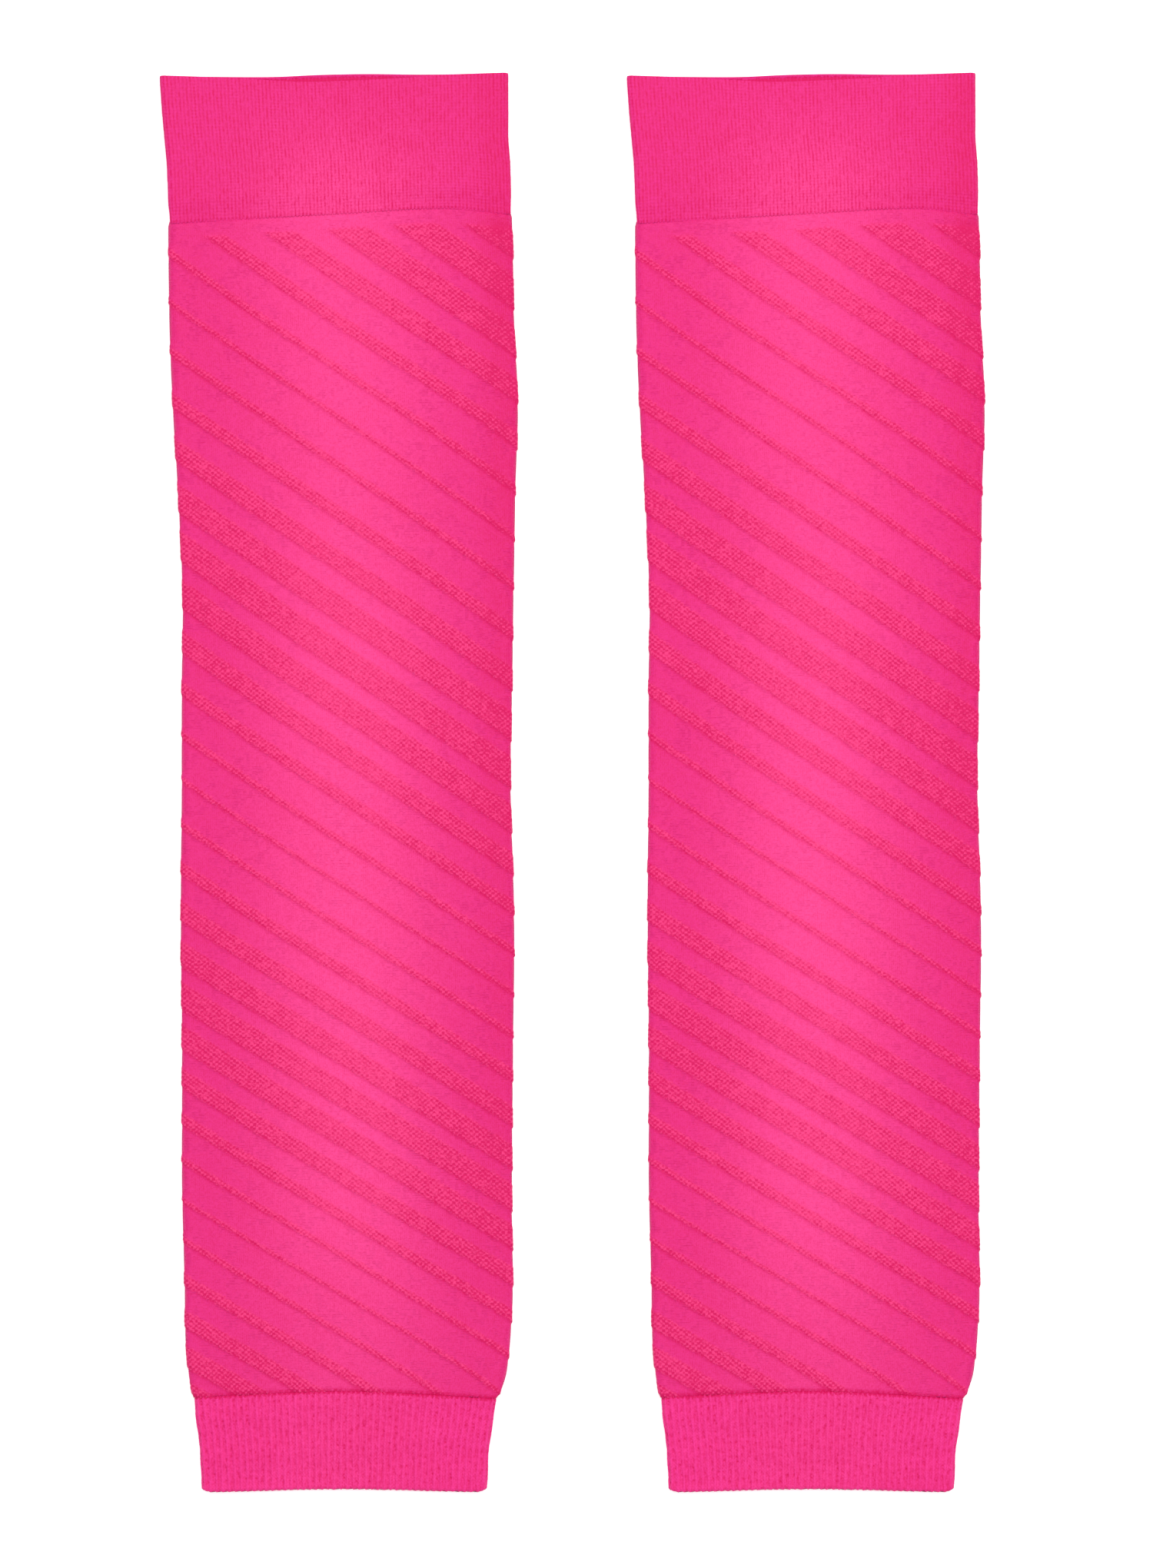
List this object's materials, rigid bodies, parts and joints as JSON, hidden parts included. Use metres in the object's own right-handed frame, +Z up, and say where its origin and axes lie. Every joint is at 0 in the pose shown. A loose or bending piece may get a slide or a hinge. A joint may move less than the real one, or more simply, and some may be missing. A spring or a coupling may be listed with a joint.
{
  "type": "pair of arm sleeves",
  "caption": "Knitted sports arm sleeves lying flat side by side, each an open tapered tube with a doubled upper band, raised winding bands and a ribbed wrist cuff.",
  "frame": {"origin": "middle of the pair's footprint, on the surface that it lies on", "axes": "+Y along the sleeves towards the upper bands, +X across the pair to the right-hand sleeve, +Z up from the surface"},
  "size_m": [0.2332, 0.4, 0.0035],
  "materials": {
    "upper_band_knit": "matt pink fine 1x1 rib knit",
    "body_knit": "matt pink plain knit with raised moss knit bands",
    "wrist_cuff_knit": "matt pink coarse rib knit"
  },
  "bodies": {
    "root": {"left_upper_band": "upper_band_knit", "left_body": "body_knit", "left_wrist_cuff": "wrist_cuff_knit", "right_upper_band": "upper_band_knit", "right_body": "body_knit", "right_wrist_cuff": "wrist_cuff_knit"}
  },
  "joints": []
}
